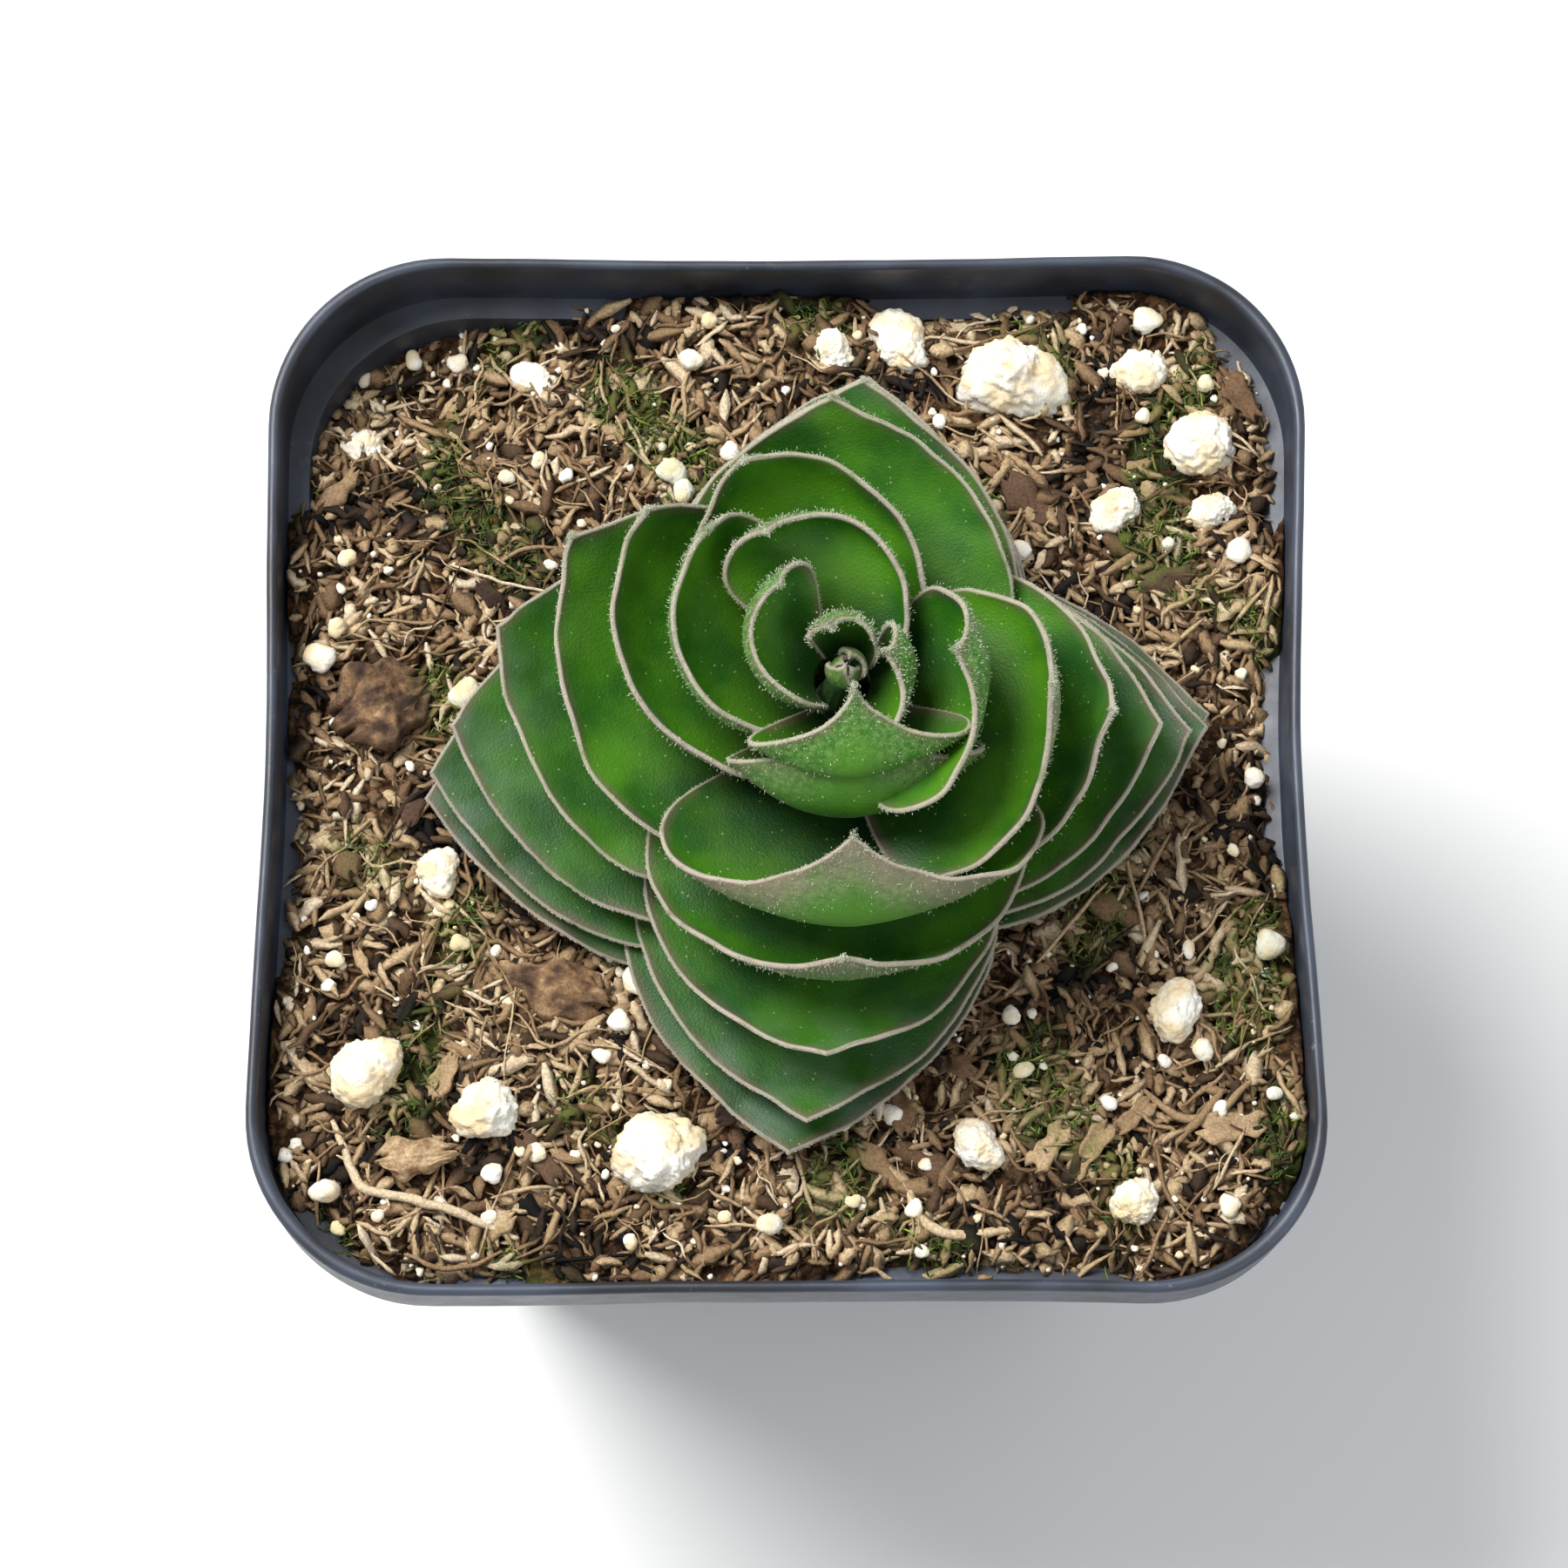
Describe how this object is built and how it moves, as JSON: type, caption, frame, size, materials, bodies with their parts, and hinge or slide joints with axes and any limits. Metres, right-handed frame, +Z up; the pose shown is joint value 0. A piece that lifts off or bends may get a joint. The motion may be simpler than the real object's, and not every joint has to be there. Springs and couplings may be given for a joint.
{
  "type": "potted succulent",
  "caption": "Small rosette succulent with stacked, cupped leaves in four ranks, growing in potting mix with perlite in a thin tapered square nursery pot.",
  "frame": {"origin": "middle of the pot's flat base, on the surface it stands on", "axes": "+Z up along the pot; +X to the right and +Y away from the viewer, who looks down from the pot's front side"},
  "size_m": [0.054, 0.0548, 0.068],
  "materials": {
    "pot_plastic": "thin black nursery plastic, satin, slightly dusty",
    "potting_mix": "loose light brown coir and bark mix, matt; wood stands in for it",
    "stem": "soft green stem with pale brown roots; wood stands in for it",
    "leaf": "velvety green living leaf with a thin pale rim; leather stands in for it",
    "perlite": "matt white expanded glass grain; stone stands in for it",
    "bark": "dry matt bark",
    "root": "dry matt loose root or twig"
  },
  "bodies": {
    "root": {"pot": "pot_plastic", "soil": "potting_mix", "stem_and_roots": "stem", "leaf_west_1": "leaf", "leaf_west_2": "leaf", "leaf_west_3": "leaf", "leaf_west_4": "leaf", "leaf_west_5": "leaf", "leaf_west_6": "leaf", "leaf_west_7": "leaf", "leaf_west_8": "leaf", "leaf_east_1": "leaf", "leaf_east_2": "leaf", "leaf_east_3": "leaf", "leaf_east_4": "leaf", "leaf_east_5": "leaf", "leaf_east_6": "leaf", "leaf_east_7": "leaf", "leaf_east_8": "leaf", "leaf_north_1": "leaf", "leaf_north_2": "leaf", "leaf_north_3": "leaf", "leaf_north_4": "leaf", "leaf_north_5": "leaf", "leaf_north_6": "leaf", "leaf_north_7": "leaf", "leaf_north_8": "leaf", "leaf_south_1": "leaf", "leaf_south_2": "leaf", "leaf_south_3": "leaf", "leaf_south_4": "leaf", "leaf_south_5": "leaf", "leaf_south_6": "leaf", "leaf_south_7": "leaf", "perlite_1": "perlite", "perlite_2": "perlite", "perlite_3": "perlite", "perlite_4": "perlite", "perlite_5": "perlite", "perlite_6": "perlite", "perlite_7": "perlite", "perlite_8": "perlite", "perlite_9": "perlite", "perlite_10": "perlite", "perlite_11": "perlite", "perlite_12": "perlite", "perlite_13": "perlite", "perlite_14": "perlite", "perlite_15": "perlite", "perlite_16": "perlite", "bark_chip_1": "bark", "bark_chip_2": "bark", "bark_chip_3": "bark", "twig_1": "root", "twig_2": "root", "twig_3": "root"}
  },
  "joints": []
}
